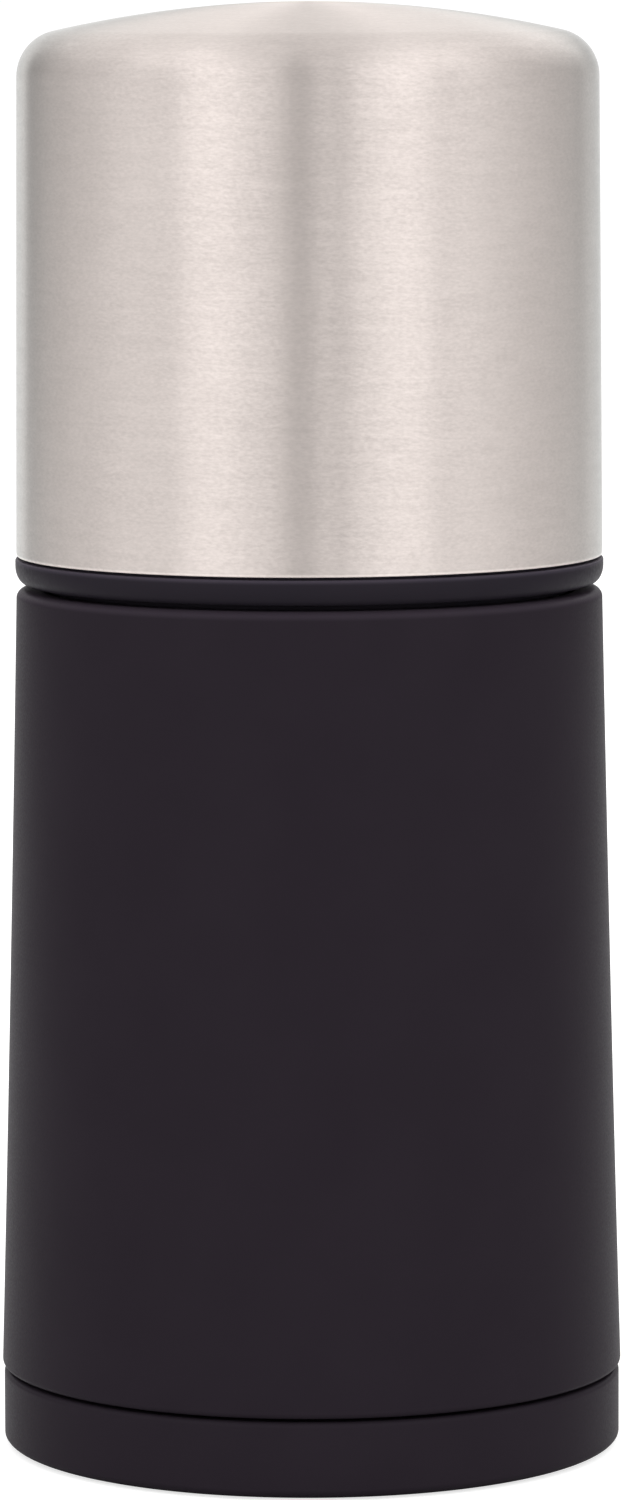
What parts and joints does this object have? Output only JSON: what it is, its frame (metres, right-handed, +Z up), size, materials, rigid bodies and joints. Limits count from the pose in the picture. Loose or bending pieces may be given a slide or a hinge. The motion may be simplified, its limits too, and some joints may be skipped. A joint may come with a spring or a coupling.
{
  "type": "mechanical nutmeg grater",
  "caption": "Upright twist-top nutmeg grater with a domed brushed-steel head, a tapered soft-touch body, a sprung pronged plunger, an etched blade and a catching base cap.",
  "frame": {"origin": "centre of the foot ring's underside, on the surface that the grater stands on", "axes": "+Z up along the axis that everything turns about; X and Y are alike, and -Y faces the viewer"},
  "size_m": [0.0562, 0.0562, 0.1301],
  "materials": {
    "brushed_cap": "fine brushing round the cap, satin",
    "soft_black": "soft-touch, matte, with a faint sheen at the edges",
    "moulded_black": "moulded, low sheen",
    "inner_plastic": "moulded, matte",
    "blade_steel": "etched and satin",
    "screw_steel": "bright",
    "spring_steel": "drawn wire",
    "acetal": "smooth, waxy",
    "seal_rubber": "matte"
  },
  "bodies": {
    "base": {"base_cap": "soft_black"},
    "ring": {"locking_ring": "moulded_black", "seal_ring": "seal_rubber"},
    "blade_unit": {"blade_holder": "moulded_black", "blade_disc": "blade_steel", "blade_clamp_ring": "inner_plastic", "blade_screw_1": "screw_steel", "blade_screw_2": "screw_steel", "blade_screw_3": "screw_steel"},
    "body": {"body_shell": "soft_black", "chamber_tube": "inner_plastic", "bearing_washer": "acetal", "chamber_screw_1": "screw_steel", "chamber_screw_2": "screw_steel", "chamber_screw_3": "screw_steel"},
    "head": {"steel_cap": "brushed_cap", "head_core": "moulded_black", "retaining_ring": "inner_plastic", "retaining_screw_1": "screw_steel", "retaining_screw_2": "screw_steel", "retaining_screw_3": "screw_steel", "plunger_spring": "spring_steel"},
    "plunger": {"drive_rod": "screw_steel", "prong_carrier": "moulded_black", "carrier_screw": "screw_steel", "stop_washer": "screw_steel", "stop_screw": "screw_steel", "prong_1": "blade_steel", "prong_2": "blade_steel", "prong_3": "blade_steel", "prong_4": "blade_steel", "prong_5": "blade_steel", "prong_6": "blade_steel"}
  },
  "joints": [
    {"name": "mill_lift", "type": "slide", "parent": "base", "child": "ring", "axis": [0, 0, 1], "range_m": [0, 0.03]},
    {"name": "body_unscrew", "type": "hinge", "parent": "ring", "child": "blade_unit", "pos_m": [0, 0, 0.01], "axis": [0, 0, 1], "range_deg": [0, 540]},
    {"name": "body_rise", "type": "slide", "parent": "blade_unit", "child": "body", "axis": [0, 0, 1], "range_m": [0, 0.018]},
    {"name": "head_twist", "type": "hinge", "parent": "body", "child": "head", "pos_m": [0, 0, 0.08], "axis": [0, 0, 1], "continuous": true},
    {"name": "plunger_slide", "type": "slide", "parent": "head", "child": "plunger", "axis": [0, 0, 1], "range_m": [0, 0.03], "stiffness_N_per_m": 400, "springref_m": -0.015, "deforming": ["plunger_spring"]}
  ],
  "couplings": [
    {"joint": "body_rise", "follows": "body_unscrew", "m_per_rad": 0.0019098}
  ]
}
